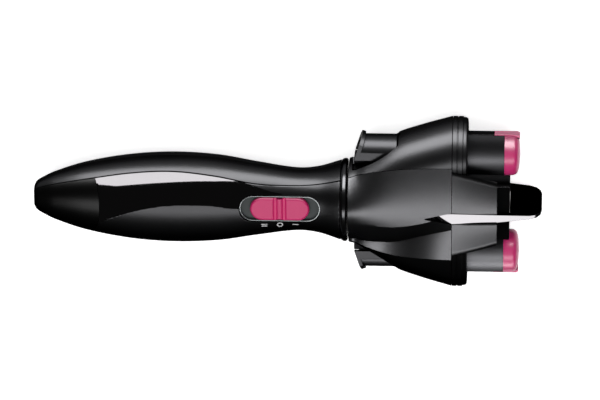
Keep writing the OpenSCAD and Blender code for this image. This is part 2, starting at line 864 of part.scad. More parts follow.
// Fin body; grown, it is the slot that the covers leave for it
module fin_body(grow) {
  rotate([fin_lean, 0, 0]) intersection() {
    upright(-30, 30) fin_plan(grow);
    rotate([90, 0, 0]) fin_side(grow);
  }
}

module fin_slot() {
  fin_body(gap);
}

module divider_fin() {
  color([0.03, 0.03, 0.035]) difference() {
    fin_body(0);
    block([200, -10, -20], [sun_x1 + 1.2, 10, 20]);
    rod(230, 245, shaft_r + 0.3);
    block([sun_x1, -6, -core_h - gap], [271, 6, core_h + gap]);
  }
  color([0.03, 0.03, 0.035]) intersection() {
    fin_body(0);
    block([270.9, -10, -20], [272, 10, 20]);
  }
}

module nose_core() {
  color([0.14, 0.14, 0.15]) difference() {
    block([238.8, -16, -core_h], [270.7, 16, core_h]);
    for (s = [-1, 1]) rod(238, 272, lever_room_r, s * barrel_y);
    for (s = [-1, 1]) rod(238, rim_x1 + 0.3, mouth_r + gap, s * barrel_y);
    rod(238, 244.4, shaft_r + run);
    nose_screw_places() upright(-19, -12) circle(r = 1);
  }
}

module nose_cover(side) {
  one_skin() difference() {
    intersection() {
      nose_solid(0, seam_x + 0.35);
      upright(side > 0 ? 12 : -40, side > 0 ? 40 : -12)
        square([600, 60], center = true);
    }
    nose_solid(head_wall, seam_x, seam_x + nose_l + 0.2);
    rod(seam_x, seam_x + 60, mouth_r + 0.3, barrel_y);
    rod(seam_x, seam_x + 60, mouth_r + 0.3, -barrel_y);
    fin_slot();
    if (side < 0) nose_screw_places() screw_seat(nose_seat_z);
  }
}

module nose_front_cover() {
  color([0.15, 0.15, 0.16]) nose_cover(1);
}

module nose_back_cover() {
  color([0.15, 0.15, 0.16]) nose_cover(-1);
}

// Ring round each barrel's mouth
module rim() {
  color([0.12, 0.12, 0.13]) translate([seam_x + 0.35, 0, 0]) rotate([0, 90, 0]) rotate_extrude()
    polygon([[gear_room_r, 0], [mouth_r, 0], [mouth_r, 4.6], [mouth_r - 0.5, 7],
      [mouth_r - 1.4, rim_x1 - seam_x - 0.6], [gear_room_r, rim_x1 - seam_x - 0.35]]);
}

module upper_rim() at_barrel(1) rim();
module lower_rim() at_barrel(-1) rim();

module head_screws() {
  color([0.6, 0.6, 0.62]) {
    core_screw_places() head_screw(core_seat_z, -7);
    nose_screw_places() head_screw(nose_seat_z, -13);
  }
}

// ---------- assembly ----------

// Centres the length and stands the back on Z = 0
module placed() {
  translate([-overall_l / 2, 0, axis_h]) children();
}

placed() front_shell();
placed() rear_shell();
placed() grip_inlay();
placed() tail_panel();
placed() neck_collar();
placed() switch_bezel();
placed() switch_button();
placed() switch_carriage();
placed() slide_switch();
placed() battery_cover();
placed() battery_tray();
placed() left_cell();
placed() right_cell();
placed() cell_springs();
placed() cell_contacts();
placed() circuit_board();
placed() motor_cradle();
placed() braid_motor();
placed() twist_motor();
placed() braid_pinion();
placed() twist_roller();
placed() braid_gear();
placed() twist_wheel();
placed() head_shaft();
placed() twist_shaft();
placed() rear_bearing();
placed() neck_bearing();
placed() handle_screws();
placed() core_front_cover();
placed() core_back_cover();
placed() upper_cowl();
placed() lower_cowl();
placed() head_chassis();
placed() rear_plate();
placed() front_plate();
placed() sun_gear();
placed() upper_barrel();
placed() lower_barrel();
placed() upper_gear();
placed() lower_gear();
placed() upper_bushes();
placed() lower_bushes();
placed() upper_tip();
placed() lower_tip();
placed() upper_lever();
placed() lower_lever();
placed() upper_lever_tip();
placed() lower_lever_tip();
placed() upper_pin();
placed() lower_pin();
placed() upper_spring();
placed() lower_spring();
placed() upper_rim();
placed() lower_rim();
placed() nose_front_cover();
placed() nose_back_cover();
placed() nose_core();
placed() divider_fin();
placed() head_screws();
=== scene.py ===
"""Dressed model of a cordless automatic hair braider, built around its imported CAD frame.

Lengths in the classes are millimetres on the maker's drawing: X from the tail of the grip, Y and Z from
the turning axis. Bench puts every finished mesh in metres in the shared frame.
"""

import json
import logging
import math
from collections.abc import Callable, Sequence
from dataclasses import dataclass
from enum import Enum

import bmesh
import bpy
import numpy as np
from mathutils import Matrix, Vector


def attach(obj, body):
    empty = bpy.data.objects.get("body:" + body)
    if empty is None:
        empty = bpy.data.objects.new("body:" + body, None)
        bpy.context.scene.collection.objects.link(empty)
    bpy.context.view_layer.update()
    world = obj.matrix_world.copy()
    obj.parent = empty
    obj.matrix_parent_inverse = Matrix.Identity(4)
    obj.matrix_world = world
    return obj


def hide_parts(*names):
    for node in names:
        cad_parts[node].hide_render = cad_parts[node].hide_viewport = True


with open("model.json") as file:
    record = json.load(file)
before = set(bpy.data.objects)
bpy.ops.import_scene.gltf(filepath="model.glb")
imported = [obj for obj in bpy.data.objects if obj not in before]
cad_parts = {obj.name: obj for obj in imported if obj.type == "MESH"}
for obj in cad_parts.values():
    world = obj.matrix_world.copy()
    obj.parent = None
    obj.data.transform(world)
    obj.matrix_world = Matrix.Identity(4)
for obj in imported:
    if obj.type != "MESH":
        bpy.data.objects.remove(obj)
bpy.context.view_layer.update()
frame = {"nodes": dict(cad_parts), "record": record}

LOG = logging.getLogger("braider")
MM = 0.001
Piece = bpy.types.Object
Tree = bpy.types.NodeTree
Socket = bpy.types.NodeSocket
Corner = tuple[float, float]
Triple = tuple[float, float, float]
Array = np.ndarray
Points = tuple[Array, Array, Array]
Line = Callable[[Array], Array]
Skin = Callable[[Array, Array], Points]
SQUARENESS = 2.2  # power of the grip's section; 2 would be an ellipse


# ---------- the drawing ----------


@dataclass(frozen=True)
class Drawing:
    """Sizes that several sub-assemblies share."""

    length: float = 289.0
    axis_height: float = 23.7
    grip_end: float = 174.8
    head_start: float = 179.6
    seam: float = 238.0
    nose_end: float = 263.6
    tail_seam: float = 36.0
    barrel_offset: float = 29.7
    tunnel_radius: float = 13.2
    mouth_room: float = 17.9
    switch_at: float = 140.8
    end_reach: float = 6.0
    end_eye: float = 0.02
    gap: float = 0.15


SIZES = Drawing()
TO_FRAME = Matrix.Scale(MM, 4) @ Matrix.Translation((-SIZES.length / 2, 0, SIZES.axis_height))
TO_DRAWING = TO_FRAME.inverted()


@dataclass(frozen=True)
class Table:
    """Rows of section sizes along X, joined by one smooth cubic."""

    rows: tuple[tuple[float, ...], ...]

    def at(self, x: Array, column: int) -> Array:
        """Reads one column of the table between its rows.

        Args:
            x: Places along the object.
            column: Which size to read; column 0 is the place itself.

        Returns:
            The size at each place.
        """
        t = np.array(self.rows, float)
        x = np.clip(x, t[0, 0], t[-1, 0])
        i = np.clip(np.searchsorted(t[:, 0], x, side="right") - 1, 0, len(t) - 2)
        before, after = np.maximum(np.arange(len(t)) - 1, 0), np.minimum(np.arange(len(t)) + 1, len(t) - 1)
        slopes = (t[after, column] - t[before, column]) / (t[after, 0] - t[before, 0])
        h = t[i + 1, 0] - t[i, 0]
        u = (x - t[i, 0]) / h
        a, b, m, n = t[i, column], t[i + 1, column], slopes[i] * h, slopes[i + 1] * h
        return (a * (2 * u**3 - 3 * u**2 + 1) + m * (u**3 - 2 * u**2 + u)
                + b * (3 * u**2 - 2 * u**3) + n * (u**3 - u**2))


GRIP = Table((
    (0, 6.5, 5.6, 5.8), (1, 8, 6.8, 7), (3.5, 9.8, 8.2, 8.6), (12, 13.9, 11.6, 12.4), (30, 19.6, 16.2, 18),
    (55, 24, 19.8, 22.6), (80, 25.6, 21, 24.3), (105, 24.5, 20, 22.4), (128, 20.9, 17.4, 18.6),
    (150, 17.9, 15.6, 16.2), (162, 18.8, 17.2, 17.6), (174.8, 22.4, 22.2, 22.2),
))
HEAD = Table((
    (179.6, 1.6, 22.4, 23.9), (184, 3.4, 22.2, 22.8), (190, 8.6, 21.2, 22.3), (206, 19.4, 20.4, 22.7),
    (222, 25.2, 20.5, 23.2), (238, 29.7, 20.8, 23.4),
))
RIDGE = Table(((179.6, 18.8), (190, 22.4), (206, 26), (222, 27.4), (238, 27.8)))
NOSE = Table(((238, 27.6, 20.8, 23.4), (250, 24, 20.4, 23.2), (263.6, 19.4, 19.6, 22.2)))
CREASE = Table(((179.6, -5.9), (190, -6.8), (206, -7.4), (222, -4.6), (238, 1.0)))
VALLEY = Table(((179.6, -17.5), (190, -19.5), (206, -19), (222, -14.6), (238, -9.6)))
VALLEY_DEPTH = Table(((179.6, 0.3), (186, 2.2), (200, 4.8), (222, 5.0), (238, 2.6)))
NOSE_DROP = Table(((238, 2.2), (250, 1.8), (263.6, 1.4)))
SEAM_SHARE = Table((
    (0, 0.7), (30, 0.73), (55, 0.785), (80, 0.8), (105, 0.74), (128, 0.655), (149, 0.69), (174.8, 0.76),
))
LEAF_LOW = Table((
    (33, -12), (38, -9.8), (46.5, -5.8), (58.7, -1.2), (70.9, 1.75), (79, 2.9), (91.3, 3.1), (103.4, 2.6),
    (117.3, 0.7), (128, 3.5), (142, 7.9),
))
LEAF_TOP = Table(((105, 19.6), (112, 18), (118, 15.8), (125.8, 13.2), (134.4, 10.3), (142, 8.6)))

# The collar's places ahead of the grip's end, with its radii.
COLLAR_PROFILE = ((0.15, 17.4), (0.15, 22.3), (0.7, 23.1), (1.7, 23.7), (2.9, 23.8), (3.6, 23.5), (4.1, 22.9),
                  (4.1, 17.4))
# A mouth rim's places ahead of its foot, with how far it lies inside its full radius.
RIM_PROFILE = ((0, 0), (2.4, 0), (2.6, 0.35), (3.0, 0.35), (3.2, 0), (5.6, 0), (6.0, 0.5), (6.6, 0.55),
               (7.7, 0.8), (8.45, 1.6), (8.55, 2.3))
# A pink tip's places back from its end, with how far it lies inside its full radius.
TIP_PROFILE = ((4.4, 0), (3.2, 0.25), (2.2, 0.8), (1.5, 1.6), (0.9, 3.2), (0.4, 6))
# The divider fin's half width, and its reach from the axis.
FIN_WIDTH = ((223, 0.2), (238, 3.7), (264, 2.7), (287, 1.0), (289, 0.8))
FIN_REACH = ((223, 17.6), (238, 21.8), (264, 20.7), (282, 18.6), (286, 16.8), (288.2, 13.6), (289, 9.6))


def soft(value: Array) -> Array:
    """Rounds a circle's sine or cosine out towards a slightly square section."""
    return np.sign(value) * np.abs(value) ** (2 / SQUARENESS)


def grip_skin(x: Array, angle: Array) -> Points:
    """Skin of the grip.

    Args:
        x: Places along the grip; below 0 they run in over its flat end instead.
        angle: Angles round the axis in radians, 0 at +Y and a quarter turn at the front.

    Returns:
        The points' three coordinates; the back has a flat land to rest on.
    """
    share = np.clip(1 + x / SIZES.end_reach, SIZES.end_eye, 1)
    x = np.maximum(x, 0)
    up = np.sin(angle)
    y = GRIP.at(x, 1) * soft(np.cos(angle)) * share
    z = np.where(up > 0, GRIP.at(x, 2), GRIP.at(x, 3)) * soft(up) * share
    return x, y, np.maximum(z, -SIZES.axis_height)


def seam_angle(x: Array) -> Array:
    """Angle of the seam between the cheeks and the front plate at places x."""
    return np.arccos(SEAM_SHARE.at(np.maximum(x, 0), 1) ** (SQUARENESS / 2))


PLATE_EDGES = (lambda x: math.pi - seam_angle(x), seam_angle)  # the front plate's lower and upper seam


def head_top(x: Array, y: Array) -> Array:
    """Height of the head's front above the axis between its ridges, without its crease."""
    c, r, crown, ridge = HEAD.at(x, 1), HEAD.at(x, 2), HEAD.at(x, 3), RIDGE.at(x, 1)
    foot = np.sqrt(r**2 - np.maximum(ridge - c, 0) ** 2)
    return foot + (crown - foot) * np.cos(np.pi / 2 * np.clip(y / ridge, -1, 1))


def at_all(value: float) -> Line:
    """A rule that is the same everywhere."""
    return lambda x: value + 0 * x


def mirrored(edge: Sequence[Corner], grow: float) -> list[Corner]:
    """Outline between an edge, moved out by some growth, and its mirror image."""
    return [(x, w + grow) for x, w in edge] + [(x, -w - grow) for x, w in reversed(edge)]


# ---------- hand tools ----------


class Axis(Enum):
    """A row axis, with the turn that brings a primitive's own Z on to it."""

    X = (0.0, math.pi / 2, 0.0)
    Y = (-math.pi / 2, 0.0, 0.0)
    Z = (0.0, 0.0, 0.0)


class Bench:
    """Hand tools that every sub-assembly is modelled with, in drawing millimetres up to finish."""

    rod_faces: int = 96
    bar_corners: int = 62  # not a multiple of four: none may lie on the middle line
    far: float = 30.0  # reach of a tool that has to pass right through

    @staticmethod
    def take(piece: Piece | None = None) -> None:
        """Lets go of everything, then takes one piece in hand."""
        if bpy.context.object is not None and bpy.context.object.mode != "OBJECT":
            bpy.ops.object.mode_set(mode="OBJECT")
        bpy.ops.object.select_all(action="DESELECT")
        if piece is not None:
            piece.select_set(True)
        bpy.context.view_layer.objects.active = piece

    @staticmethod
    def named(name: str) -> Piece:
        """Names the primitive that was just added."""
        piece = bpy.context.object
        piece.name = piece.data.name = name
        return piece

    @staticmethod
    def grid(name: str, along: int, across: int, rule: Skin) -> Piece:
        """A grid primitive, drawn out over a skin.

        Args:
            name: The piece's name.
            along: Faces along the grid's own X.
            across: Faces along its own Y.
            rule: Where a corner goes, from its two shares of the grid from 0 to 1.

        Returns:
            The open skin.
        """
        Bench.take()
        bpy.ops.mesh.primitive_grid_add(x_subdivisions=along, y_subdivisions=across, size=1)
        piece = Bench.named(name)
        corners = np.zeros(len(piece.data.vertices) * 3)
        piece.data.vertices.foreach_get("co", corners)
        corners = corners.reshape(-1, 3) + 0.5
        placed = np.stack(np.broadcast_arrays(*rule(corners[:, 0], corners[:, 1])), axis=1)
        piece.data.vertices.foreach_set("co", placed.ravel())
        piece.data.update()
        return piece

    @staticmethod
    def open_up() -> None:
        """Enters edit mode with all of the piece in hand selected."""
        bpy.ops.object.mode_set(mode="EDIT")
        bpy.ops.mesh.select_all(action="SELECT")

    @staticmethod
    def pull(by: Sequence[float]) -> None:
        """Extrudes what is selected, in edit mode."""
        bpy.ops.mesh.extrude_region_move(TRANSFORM_OT_translate={"value": by})

    @staticmethod
    def close_up() -> None:
        """Turns the faces of the piece in hand outwards and leaves edit mode."""
        bpy.ops.mesh.select_all(action="SELECT")
        bpy.ops.mesh.normals_make_consistent(inside=False)
        bpy.ops.object.mode_set(mode="OBJECT")

    @staticmethod
    def turned(name: str, profile: Sequence[Corner], y: float = 0.0) -> Piece:
        """A closed profile spun round a line along X.

        Args:
            name: The piece's name.
            profile: Corners as (place along X, radius), in order round the profile.
            y: Side offset of the turning line.

        Returns:
            The turned ring.
        """
        Bench.take()
        bpy.ops.mesh.primitive_plane_add(size=0.1)
        piece = Bench.named(name)
        Bench.open_up()
        bpy.ops.mesh.merge(type="CENTER")
        x0, r0 = profile[0]
        bpy.ops.transform.translate(value=(x0, y, r0))
        for (xa, ra), (xb, rb) in zip(profile, [*profile[1:], (x0, r0)]):
            Bench.pull((xb - xa, 0, rb - ra))
        bpy.ops.mesh.select_all(action="SELECT")
        bpy.ops.mesh.spin(steps=Bench.rod_faces, angle=2 * math.pi, center=(0, y, 0), axis=(1, 0, 0))
        bpy.ops.mesh.select_all(action="SELECT")
        bpy.ops.mesh.remove_doubles(threshold=0.0005)
        Bench.close_up()
        return piece

    @staticmethod
    def lozenge(name: str, length: float, width: float, low: float, high: float, at: float) -> Piece:
        """A bar with round ends, standing on Z.

        Args:
            name: The piece's name.
            length: Its size along X.
            width: Its size along Y.
            low: Height of its foot.
            high: Height of its top.
            at: Place of its middle along X.

        Returns:
            The solid bar.
        """
        Bench.take()
        bpy.ops.mesh.primitive_circle_add(vertices=Bench.bar_corners, radius=width / 2, fill_type="NGON",
                                          rotation=(0, 0, math.pi / 2))
        piece = Bench.named(name)
        bpy.ops.object.transform_apply()
        bpy.ops.object.mode_set(mode="EDIT")
        for side in (-1, 1):
            Bench.pick_corners(piece, lambda p, s=side: p.x * s > 0)
            bpy.ops.transform.translate(value=(side * (length - width) / 2, 0, 0))
        bpy.ops.mesh.select_all(action="SELECT")
        bpy.ops.transform.translate(value=(at, 0, low))
        Bench.pull((0, 0, high - low))
        Bench.close_up()
        return piece

    @staticmethod
    def rod(middle: Sequence[float], length: float, radius: float, axis: Axis = Axis.X) -> Piece:
        """A plain rod to cut with."""
        Bench.take()
        bpy.ops.mesh.primitive_cylinder_add(vertices=Bench.rod_faces, radius=radius, depth=length,
                                            location=middle, rotation=axis.value)
        bpy.ops.object.transform_apply()
        return Bench.named("rod_tool")

    @staticmethod
    def plate(name: str, outline: Sequence[Corner], low: float, high: float) -> Piece:
        """A flat outline pulled up to a solid.

        Args:
            name: The piece's name.
            outline: Its corners as (X, Y), in order.
            low: Height of its foot.
            high: Height of its top.

        Returns:
            The solid.
        """
        Bench.take()
        bpy.ops.mesh.primitive_circle_add(vertices=len(outline), radius=1, fill_type="NGON")
        piece = Bench.named(name)
        for corner, (x, y) in zip(piece.data.vertices, outline):
            corner.co = (x, y, low)
        Bench.open_up()
        Bench.pull((0, 0, high - low))
        Bench.close_up()
        return piece

    @staticmethod
    def block(low: Sequence[float], high: Sequence[float]) -> Piece:
        """A plain block between two corners, to cut with."""
        Bench.take()
        middle = [(a + b) / 2 for a, b in zip(low, high)]
        bpy.ops.mesh.primitive_cube_add(size=1, location=middle, scale=[b - a for a, b in zip(low, high)])
        bpy.ops.object.transform_apply()
        return Bench.named("block_tool")

    @staticmethod
    def pick_corners(piece: Piece, wanted: Callable[[Vector], bool]) -> None:
        """Selects the corners of the piece in hand that are wanted, in edit mode."""
        bpy.ops.mesh.select_mode(type="VERT")
        bpy.ops.mesh.select_all(action="DESELECT")
        shape = bmesh.from_edit_mesh(piece.data)
        for corner in shape.verts:
            corner.select = wanted(corner.co)
        shape.select_flush(True)
        bmesh.update_edit_mesh(piece.data)

    @staticmethod
    def modify(piece: Piece, kind: str, **settings: object) -> None:
        """Adds one modifier with its settings and applies it."""
        Bench.take(piece)
        bpy.ops.object.modifier_add(type=kind)
        modifier = piece.modifiers[-1]
        for key, value in settings.items():
            setattr(modifier, key, value)
        bpy.ops.object.modifier_apply(modifier=modifier.name)

    @staticmethod
    def thicken(piece: Piece, wall: float, edge: float = 0.0) -> None:
        """Gives an open skin its wall, inwards, and breaks its edges if they have a width."""
        Bench.modify(piece, "SOLIDIFY", thickness=wall, offset=-1, use_even_offset=True)
        if edge:
            Bench.soften(piece, edge)

    @staticmethod
    def soften(piece: Piece, width: float, segments: int = 2, angle: float = 50) -> None:
        """Rounds the sharp edges of a piece."""
        Bench.modify(piece, "BEVEL", width=width, segments=segments, limit_method="ANGLE",
                     angle_limit=math.radians(angle), miter_outer="MITER_ARC", use_clamp_overlap=True)

    @staticmethod
    def cut(piece: Piece, tool: Piece, operation: str = "DIFFERENCE") -> None:
        """Cuts a piece with a tool, or keeps what they share, and puts the tool away."""
        Bench.modify(piece, "BOOLEAN", object=tool, operation=operation, solver="EXACT")
        bpy.data.objects.remove(tool)

    @staticmethod
    def smooth(piece: Piece, angle: float = 32) -> None:
        """Shades a piece smooth, save across its sharp edges, and keeps its flat faces flat."""
        Bench.take(piece)
        bpy.ops.object.shade_smooth_by_angle(angle=math.radians(angle))
        Bench.modify(piece, "WEIGHTED_NORMAL", keep_sharp=True)

    @staticmethod
    def half_turn(piece: Piece) -> None:
        """Turns a piece half round the turning axis, to its place on the other side."""
        piece.data.transform(Matrix.Rotation(math.pi, 4, "X"))

    @staticmethod
    def copy(piece: Piece, name: str) -> Piece:
        """Copies a piece together with its mesh."""
        Bench.take(piece)
        bpy.ops.object.duplicate()
        return Bench.named(name)

    @staticmethod
    def of_node(node: str, edge: float) -> Piece:
        """A merged copy of a CAD node in drawing millimetres, with its edges rounded."""
        source = frame["nodes"][node]
        piece = bpy.data.objects.new(node + "_form", source.data.copy())
        bpy.context.scene.collection.objects.link(piece)
        piece.data.transform(TO_DRAWING)
        piece.data.materials.clear()
        Bench.take(piece)
        Bench.open_up()
        bpy.ops.mesh.remove_doubles(threshold=0.002)
        bpy.ops.mesh.dissolve_limited(angle_limit=math.radians(0.6))
        bpy.ops.object.mode_set(mode="OBJECT")
        Bench.soften(piece, edge, 3, 35)
        return piece

    @staticmethod
    def finish(piece: Piece, body: str, finish: "Finish", nodes: Sequence[str] = (),
               angle: float = 32) -> Piece:
        """Puts a piece in its place, dresses it and lets it ride.

        Args:
            piece: The piece, in drawing millimetres.
            body: The CAD body that carries it.
            finish: Its surface finish.
            nodes: CAD nodes that it stands for.
            angle: Edges sharper than this stay sharp, in degrees.

        Returns:
            The finished piece, in metres in the shared frame.
        """
        piece.data.transform(TO_FRAME)
        piece.data.materials.clear()
        piece.data.materials.append(finish.material())
        Bench.smooth(piece, angle)
        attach(piece, body)
        if nodes:
            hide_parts(*nodes)
        LOG.info("%s: %d faces on %s", piece.name, len(piece.data.polygons), body)
        return piece


# ---------- finishes ----------

BROAD_GRAIN = 18.0  # millimetres across a cloud of uneven roughness
SPECKLE_SHARE = 0.6  # size of the colour's speckle as a share of the grain
UNDER_SKIN = 2.0  # millimetres that light goes under a skin
UNDER_SKIN_RGB = (1.0, 0.35, 0.4)
MIX_A, MIX_B, MIX_OUT = 6, 7, 2  # colour sockets of a Mix node, whose names aren't unique


def set_values(node: bpy.types.Node, values: dict[str, object]) -> None:
    """Sets uniform values on a shader node's sockets, by name."""
    for socket, value in values.items():
        node.inputs[socket].default_value = value


@dataclass(frozen=True)
class Finish:
    """A moulded or painted surface with its own grain.

    Attributes:
        metallic: 1 for metals and for the black paints, whose edges stay dark.
        grain: Size of its grain in millimetres.
        relief: Height of its grain in millimetres.
        mottle: Share by which its colour varies.
        uneven: Share by which its roughness varies.
        stretch: How much its patterns are squeezed along each axis.
        edge_sheen: Brightness of what its edges mirror.
        label: The material's name, where two finishes share a slot.
    """

    slot: str
    color: Triple
    roughness: float
    metallic: float = 0.0
    ior: float = 1.5
    grain: float = 0.25
    relief: float = 0.05
    mottle: float = 0.12
    uneven: float = 0.08
    stretch: Triple = (1.0, 1.0, 1.0)
    edge_sheen: float = 1.0
    subsurface: float = 0.0
    label: str = ""

    def material(self) -> bpy.types.Material:
        """The finish's material, made once, with grain in its colour, roughness and relief."""
        name = "finish_" + (self.label or self.slot)
        if name in bpy.data.materials:
            return bpy.data.materials[name]
        made = bpy.data.materials.new(name)
        made.use_nodes = True
        tree = made.node_tree
        shader = tree.nodes["Principled BSDF"]
        set_values(shader, {
            "Metallic": self.metallic, "IOR": self.ior, "Specular Tint": (*[self.edge_sheen] * 3, 1),
            "Subsurface Weight": self.subsurface, "Subsurface Radius": UNDER_SKIN_RGB,
            "Subsurface Scale": UNDER_SKIN * MM})
        place = tree.nodes.new("ShaderNodeTexCoord")
        mapping = tree.nodes.new("ShaderNodeMapping")
        mapping.inputs["Scale"].default_value = self.stretch
        tree.links.new(place.outputs["Object"], mapping.inputs["Vector"])
        self.grain_nodes(tree, shader, mapping.outputs["Vector"])
        return made

    def grain_nodes(self, tree: Tree, shader: bpy.types.Node, vector: Socket) -> None:
        """Lays the fine grain over the relief, and the broad one over colour and roughness.

        Args:
            tree: The material's node tree.
            shader: Its Principled shader.
            vector: The coordinates that the patterns read.
        """
        fine = self.noise(tree, vector, 1 / (self.grain * MM), 3)
        broad = self.noise(tree, vector, 1 / (BROAD_GRAIN * MM), 4)
        speckle = self.noise(tree, vector, 1 / (self.grain * SPECKLE_SHARE * MM), 1)
        bump = tree.nodes.new("ShaderNodeBump")
        set_values(bump, {"Strength": 1.0, "Distance": self.relief * MM})
        tree.links.new(fine, bump.inputs["Height"])
        tree.links.new(bump.outputs["Normal"], shader.inputs["Normal"])
        tones = tree.nodes.new("ShaderNodeMix")
        tones.data_type = "RGBA"
        tones.inputs[MIX_A].default_value = (*[c * (1 - self.mottle) for c in self.color], 1)
        tones.inputs[MIX_B].default_value = (*[min(c * (1 + self.mottle), 1) for c in self.color], 1)
        tree.links.new(speckle, tones.inputs[0])
        tree.links.new(tones.outputs[MIX_OUT], shader.inputs["Base Color"])
        spread = tree.nodes.new("ShaderNodeMapRange")
        set_values(spread, {"To Min": self.roughness * (1 - self.uneven),
                            "To Max": min(self.roughness * (1 + self.uneven), 1)})
        tree.links.new(broad, spread.inputs["Value"])
        tree.links.new(spread.outputs["Result"], shader.inputs["Roughness"])

    @staticmethod
    def noise(tree: Tree, vector: Socket, scale: float, detail: float) -> Socket:
        """Value of a noise pattern with so many repeats in a metre and so many octaves."""
        node = tree.nodes.new("ShaderNodeTexNoise")
        set_values(node, {"Scale": scale, "Detail": detail})
        tree.links.new(vector, node.inputs["Vector"])
        return node.outputs["Fac"]


SHELL = Finish("shell_satin", (0.012, 0.012, 0.0125), 0.3, metallic=1.0, edge_sheen=0.05, relief=0.012,
               mottle=0.3)
BACK = Finish("back_satin", (0.018, 0.018, 0.0187), 0.34, metallic=1.0, edge_sheen=0.1, relief=0.014,
              mottle=0.3)
PEARL = Finish("head_pearl", (0.024, 0.024, 0.025), 0.29, metallic=1.0, edge_sheen=0.05, relief=0.025,
               grain=0.3, mottle=0.5)
# The head pearl darkened for the cowls, mouth rims and nose core: painted shade on the pieces round and
# between the barrels.
PEARL_PAINTED_SHADE = Finish("head_pearl", (0.014, 0.014, 0.0146), 0.32, metallic=1.0, edge_sheen=0.05, relief=0.02,
              grain=0.3, mottle=0.4, label="cowl_pearl_painted_shade")
PIANO = Finish("piano_black", (0.031, 0.03, 0.031), 0.06, metallic=1.0, edge_sheen=0.0, relief=0.0002,
               grain=5, mottle=0.02, uneven=0.3)
TAIL = Finish("tail_black", (0.005, 0.005, 0.005), 0.3, metallic=1.0, edge_sheen=0.1, relief=0.006)
COLLAR = Finish("collar_grey", (0.02, 0.02, 0.021), 0.18, metallic=1.0, edge_sheen=0.2, relief=0.012)
BEZEL = Finish("bezel_grey", (0.07, 0.074, 0.075), 0.3, metallic=1.0, relief=0.01)
# The bezel's grey darkened for the recess floor: painted shade inside the recess under the rim.
RECESS_PAINTED_SHADE = Finish("bezel_grey", (0.045, 0.052, 0.052), 0.5, ior=1.15, relief=0.02, label="recess_painted_shade")
BUTTON = Finish("button_pink", (0.56, 0.014, 0.13), 0.4, ior=1.22, relief=0.014, mottle=0.06)
TIP = Finish("tip_pink", (0.6, 0.03, 0.17), 0.34, ior=1.35, subsurface=0.15, relief=0.006, mottle=0.06)
DRUM = Finish("barrel_grey", (0.044, 0.044, 0.0465), 0.5, metallic=1.0, edge_sheen=0.1, relief=0.02,
              grain=0.3, mottle=0.3)
LEVER = Finish("lever_black", (0.012, 0.012, 0.0126), 0.34, metallic=1.0, edge_sheen=0.1, relief=0.01)
INNER = Finish("inner_plastic", (0.05, 0.05, 0.055), 0.5, relief=0.04)
RUBBER = Finish("drive_rubber", (0.02, 0.02, 0.02), 0.75, relief=0.05)
GEAR = Finish("gear_white", (0.7, 0.68, 0.6), 0.4, relief=0.02, subsurface=0.1)
BRONZE = Finish("bush_bronze", (0.55, 0.36, 0.16), 0.38, metallic=1.0, relief=0.03)
STEEL = Finish("steel", (0.55, 0.55, 0.57), 0.3, metallic=1.0, relief=0.01, stretch=(6, 1, 1))
WRAP = Finish("cell_wrap", (0.3, 0.31, 0.28), 0.3, metallic=0.3, relief=0.006)
BOARD = Finish("board_green", (0.02, 0.14, 0.06), 0.25, relief=0.03, grain=0.8)
MARK = Finish("bezel_grey", (0.6, 0.6, 0.61), 0.45, relief=0.004, label="mark_pale")
FINISHES = (SHELL, BACK, PEARL, PIANO, TAIL, COLLAR, BEZEL, BUTTON, TIP, DRUM, LEVER, INNER, RUBBER,
            GEAR, BRONZE, STEEL, WRAP, BOARD)  # one for each slot of the CAD part


# ---------- grip ----------


